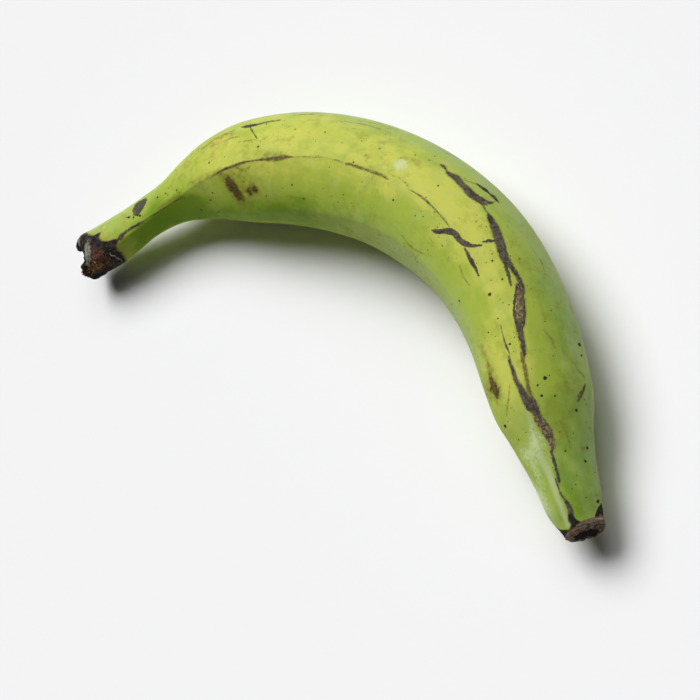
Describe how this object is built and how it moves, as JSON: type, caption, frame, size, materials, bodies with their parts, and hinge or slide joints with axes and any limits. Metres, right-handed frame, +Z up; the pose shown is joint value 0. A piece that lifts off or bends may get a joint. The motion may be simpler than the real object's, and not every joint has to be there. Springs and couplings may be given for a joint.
{
  "type": "whole green plantain",
  "caption": "Whole unripe plantain lying on its side: a curved, ridged green fruit with a torn woody crown at one end and a dry blossom tip at the other.",
  "frame": {"origin": "middle of the bounding box, on the surface that the fruit lies on", "axes": "+X along the fruit's chord, from the crown to the tip; +Y out of its bend; +Z up"},
  "size_m": [0.2614, 0.1128, 0.0465],
  "materials": {
    "green_skin": "waxy unripe peel, yellow-green on top and deeper green below, with dark brown scars and specks",
    "crown_tissue": "torn, dried dark brown fibre with pale streaks",
    "dry_tip": "dry, rough grey-brown flower scar"
  },
  "bodies": {
    "root": {"plantain": "green_skin"}
  },
  "joints": []
}
